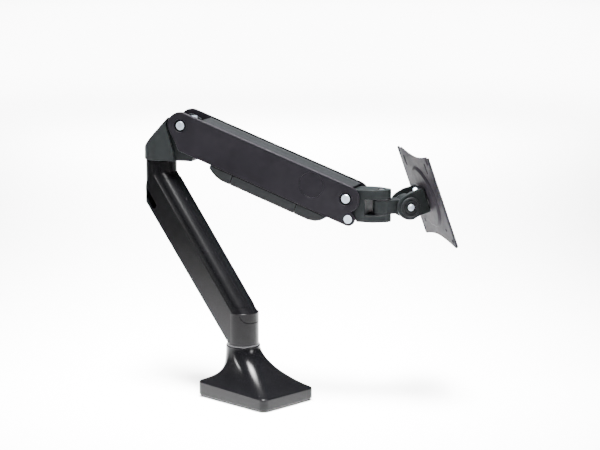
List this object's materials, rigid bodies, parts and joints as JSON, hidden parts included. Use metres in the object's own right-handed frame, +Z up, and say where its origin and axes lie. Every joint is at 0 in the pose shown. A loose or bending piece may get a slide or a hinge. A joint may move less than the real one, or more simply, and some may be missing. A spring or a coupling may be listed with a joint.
{
  "type": "monitor arm",
  "caption": "Desk-mounted gas-spring monitor arm: flared base, leaning lower arm, lifting upper arm with cable covers, and a swivelling, tilting screen plate.",
  "frame": {"origin": "middle of the base's underside, on the desk surface", "axes": "+Z up; +X along the base's long side, away from the elbow, with the neck 21 mm towards -X; +Y to the base's far side, which the head points past"},
  "size_m": [0.3736, 0.256, 0.3397],
  "materials": {
    "gloss_black_paint": "cast aluminium under smooth gloss black paint",
    "satin_charcoal_paint": "cast aluminium under satin dark grey paint",
    "satin_blue_grey_paint": "cast aluminium under fine satin blue-grey paint",
    "spring_black_paint": "steel tube under satin black paint",
    "plate_paint": "stamped steel under satin warm grey powder coat",
    "charcoal_plastic": "fine-grained dark grey moulding",
    "zinc_plated_steel": "bright zinc plate",
    "steel": "turned and pressed steel",
    "nylon": "natural nylon",
    "rubber": "fine-ribbed black rubber"
  },
  "bodies": {
    "base": {"base_casting": "gloss_black_paint", "base_plate": "steel", "pivot_post": "steel", "base_pad": "rubber", "post_bolt": "zinc_plated_steel", "base_screw_1": "zinc_plated_steel", "base_screw_2": "zinc_plated_steel"},
    "lower_arm": {"lower_arm_casting": "gloss_black_paint", "lower_arm_cover": "gloss_black_paint", "neck_washer": "nylon", "swivel_bush_low": "nylon", "swivel_bush_high": "nylon", "elbow_bush": "nylon", "elbow_washer": "nylon", "lower_set_screw": "zinc_plated_steel"},
    "elbow": {"elbow_bracket": "satin_charcoal_paint", "elbow_bolt": "zinc_plated_steel", "elbow_nut": "zinc_plated_steel", "link_pin_rear": "steel"},
    "tension_screw": {"tension_screw": "zinc_plated_steel"},
    "tension_block": {"tension_block": "steel"},
    "upper_arm": {"upper_arm_channel": "satin_blue_grey_paint", "side_cap_near": "satin_blue_grey_paint", "side_cap_far": "satin_blue_grey_paint", "upper_top_cover": "charcoal_plastic", "cable_cover_rear": "charcoal_plastic", "cable_cover_middle": "charcoal_plastic", "cable_cover_front": "charcoal_plastic", "lift_pin": "zinc_plated_steel", "lift_pin_nut": "zinc_plated_steel", "wrist_pin": "zinc_plated_steel", "wrist_pin_nut": "zinc_plated_steel", "wall_stud_near": "zinc_plated_steel", "wall_stud_far": "zinc_plated_steel", "lift_washer_near": "nylon", "lift_washer_far": "nylon", "wrist_washer_near": "nylon", "wrist_washer_far": "nylon", "spring_pin": "steel"},
    "gas_spring_cylinder": {"gas_spring_cylinder": "spring_black_paint"},
    "gas_spring_rod": {"gas_spring_rod": "steel"},
    "parallel_link": {"parallel_link": "steel"},
    "wrist": {"wrist_bracket": "satin_charcoal_paint", "swivel_pin": "steel", "link_pin_front": "steel", "swivel_washer_low": "nylon", "swivel_washer_high": "nylon"},
    "head": {"head_block": "satin_charcoal_paint", "tilt_bolt": "zinc_plated_steel", "tilt_nut": "zinc_plated_steel", "tilt_washer_near": "steel", "tilt_washer_far": "steel"},
    "yoke": {"tilt_yoke": "satin_charcoal_paint", "tilt_cap": "charcoal_plastic", "hub_bolt": "zinc_plated_steel", "rotation_lock_screw": "zinc_plated_steel"},
    "plate": {"vesa_plate": "plate_paint", "hub_washer": "nylon", "hub_nut": "zinc_plated_steel"}
  },
  "joints": [
    {"name": "base_swivel", "type": "hinge", "parent": "base", "child": "lower_arm", "pos_m": [-0.021, 0, 0.064], "axis": [0, 0, 1], "range_deg": [-90, 90]},
    {"name": "elbow_swivel", "type": "hinge", "parent": "lower_arm", "child": "elbow", "pos_m": [-0.166, 0, 0.2778], "axis": [0, 0, 1], "range_deg": [-150, 150]},
    {"name": "arm_lift", "type": "hinge", "parent": "elbow", "child": "upper_arm", "pos_m": [-0.13413, 0.01399, 0.3228], "axis": [0.402, -0.9157, 0], "range_deg": [-10, 40]},
    {"name": "wrist_level", "type": "hinge", "parent": "upper_arm", "child": "wrist", "pos_m": [0.06402, 0.10097, 0.24403], "axis": [0.402, -0.9157, 0], "range_deg": [-45, 45]},
    {"name": "link_swing", "type": "hinge", "parent": "elbow", "child": "parallel_link", "pos_m": [-0.13413, 0.01399, 0.3098], "axis": [0.402, -0.9157, 0], "range_deg": [-45, 45]},
    {"name": "spring_swing", "type": "hinge", "parent": "upper_arm", "child": "gas_spring_cylinder", "pos_m": [0.02387, 0.08335, 0.25893], "axis": [0.402, -0.9157, 0], "range_deg": [-4, 4]},
    {"name": "spring_stroke", "type": "slide", "parent": "gas_spring_cylinder", "child": "gas_spring_rod", "axis": [-0.8718, -0.3827, 0.3057], "range_m": [-0.004, 0.012]},
    {"name": "tension_turn", "type": "hinge", "parent": "elbow", "child": "tension_screw", "pos_m": [-0.12544, 0.01781, 0.2778], "axis": [0, 0, 1], "range_deg": [-730, 730]},
    {"name": "tension_travel", "type": "slide", "parent": "elbow", "child": "tension_block", "axis": [0, 0, 1], "range_m": [-0.0025, 0.0025]},
    {"name": "head_swivel", "type": "hinge", "parent": "wrist", "child": "head", "pos_m": [0.09983, 0.11669, 0.24403], "axis": [0, 0, 1], "range_deg": [-120, 38]},
    {"name": "head_tilt", "type": "hinge", "parent": "head", "child": "yoke", "pos_m": [0.11553, 0.144, 0.23423], "axis": [0.8669, -0.4985, 0], "range_deg": [-45, 35]},
    {"name": "plate_rotate", "type": "hinge", "parent": "yoke", "child": "plate", "pos_m": [0.12821, 0.16605, 0.24329], "axis": [0.4696, 0.8167, 0.3354], "range_deg": [-90, 90]}
  ],
  "couplings": [
    {"joint": "wrist_level", "follows": "arm_lift", "ratio": -1},
    {"joint": "link_swing", "follows": "arm_lift", "ratio": 1},
    {"joint": "spring_swing", "follows": "arm_lift", "ratio": 0.058},
    {"joint": "spring_stroke", "follows": "arm_lift", "m_per_rad": 0.0124},
    {"joint": "tension_turn", "follows": "tension_travel", "rad_per_m": 5026.6}
  ]
}
